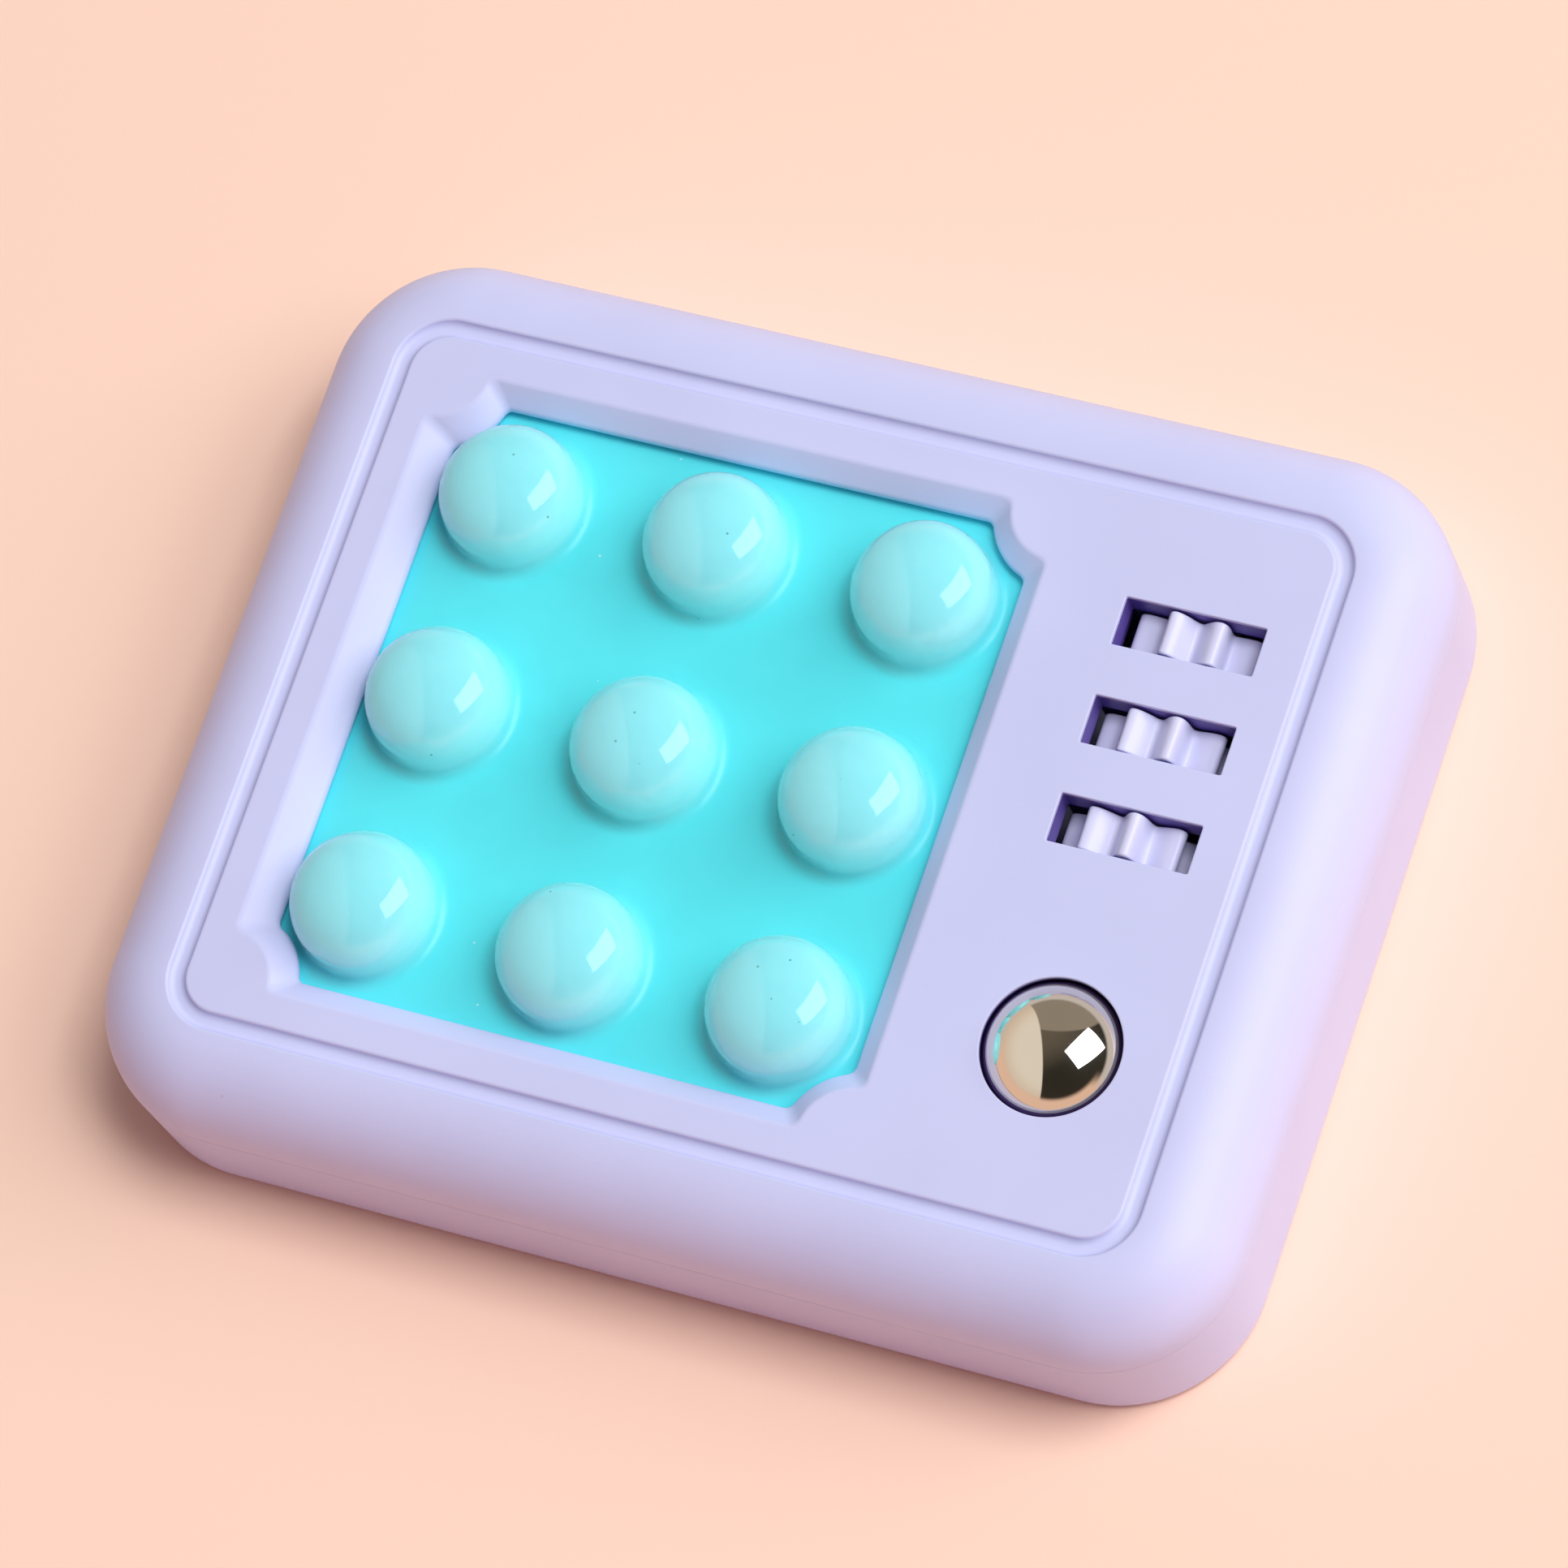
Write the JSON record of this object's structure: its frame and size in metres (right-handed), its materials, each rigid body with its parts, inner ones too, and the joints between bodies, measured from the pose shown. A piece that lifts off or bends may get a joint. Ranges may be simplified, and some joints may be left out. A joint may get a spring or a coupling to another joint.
{
  "type": "bubble pop fidget pad",
  "caption": "Hand-held fidget pad: a rounded plastic case whose face has a window of press-in silicone bubbles, a column of toothed thumb wheels and a rolling steel ball.",
  "frame": {"origin": "middle of the underside", "axes": "+X along the long side towards the wheels and the ball, +Y towards the top edge of the face, +Z out of the face"},
  "size_m": [0.097, 0.077, 0.0208],
  "materials": {
    "case_plastic": "satin lavender",
    "silicone": "smooth translucent turquoise",
    "wheel_plastic": "satin lavender",
    "ball_steel": "mirror-polished steel",
    "steel": "zinc-plated",
    "inner_plastic": "dull"
  },
  "bodies": {
    "case": {"front_shell": "case_plastic", "back_cover": "case_plastic", "face_panel": "case_plastic", "bubble_sheet": "silicone", "sheet_clamp": "inner_plastic", "wheel_axle": "steel", "wheel_carrier": "inner_plastic", "ball_cup": "inner_plastic", "case_screws": "steel", "clamp_screws": "steel", "carrier_screws": "steel"},
    "bubble_1": {"bubble_1": "silicone"},
    "bubble_2": {"bubble_2": "silicone"},
    "bubble_3": {"bubble_3": "silicone"},
    "bubble_4": {"bubble_4": "silicone"},
    "bubble_5": {"bubble_5": "silicone"},
    "bubble_6": {"bubble_6": "silicone"},
    "bubble_7": {"bubble_7": "silicone"},
    "bubble_8": {"bubble_8": "silicone"},
    "bubble_9": {"bubble_9": "silicone"},
    "thumb_wheel_1": {"thumb_wheel_1": "wheel_plastic"},
    "thumb_wheel_2": {"thumb_wheel_2": "wheel_plastic"},
    "thumb_wheel_3": {"thumb_wheel_3": "wheel_plastic"},
    "steel_ball": {"steel_ball": "ball_steel"}
  },
  "joints": [
    {"name": "bubble_1_press", "type": "slide", "parent": "case", "child": "bubble_1", "axis": [0, 0, -1], "range_m": [0, 0.004], "stiffness_N_per_m": 300},
    {"name": "bubble_2_press", "type": "slide", "parent": "case", "child": "bubble_2", "axis": [0, 0, -1], "range_m": [0, 0.004], "stiffness_N_per_m": 300},
    {"name": "bubble_3_press", "type": "slide", "parent": "case", "child": "bubble_3", "axis": [0, 0, -1], "range_m": [0, 0.004], "stiffness_N_per_m": 300},
    {"name": "bubble_4_press", "type": "slide", "parent": "case", "child": "bubble_4", "axis": [0, 0, -1], "range_m": [0, 0.004], "stiffness_N_per_m": 300},
    {"name": "bubble_5_press", "type": "slide", "parent": "case", "child": "bubble_5", "axis": [0, 0, -1], "range_m": [0, 0.004], "stiffness_N_per_m": 300},
    {"name": "bubble_6_press", "type": "slide", "parent": "case", "child": "bubble_6", "axis": [0, 0, -1], "range_m": [0, 0.004], "stiffness_N_per_m": 300},
    {"name": "bubble_7_press", "type": "slide", "parent": "case", "child": "bubble_7", "axis": [0, 0, -1], "range_m": [0, 0.004], "stiffness_N_per_m": 300},
    {"name": "bubble_8_press", "type": "slide", "parent": "case", "child": "bubble_8", "axis": [0, 0, -1], "range_m": [0, 0.004], "stiffness_N_per_m": 300},
    {"name": "bubble_9_press", "type": "slide", "parent": "case", "child": "bubble_9", "axis": [0, 0, -1], "range_m": [0, 0.004], "stiffness_N_per_m": 300},
    {"name": "thumb_wheel_1_turn", "type": "hinge", "parent": "case", "child": "thumb_wheel_1", "pos_m": [0.0303, 0.01925, 0.01115], "axis": [0, 1, 0], "continuous": true},
    {"name": "thumb_wheel_2_turn", "type": "hinge", "parent": "case", "child": "thumb_wheel_2", "pos_m": [0.0303, 0.0108, 0.01115], "axis": [0, 1, 0], "continuous": true},
    {"name": "thumb_wheel_3_turn", "type": "hinge", "parent": "case", "child": "thumb_wheel_3", "pos_m": [0.0303, 0.00235, 0.01115], "axis": [0, 1, 0], "continuous": true},
    {"name": "steel_ball_roll", "type": "hinge", "parent": "case", "child": "steel_ball", "pos_m": [0.0303, -0.0158, 0.0133], "axis": [1, 0, 0], "continuous": true}
  ]
}
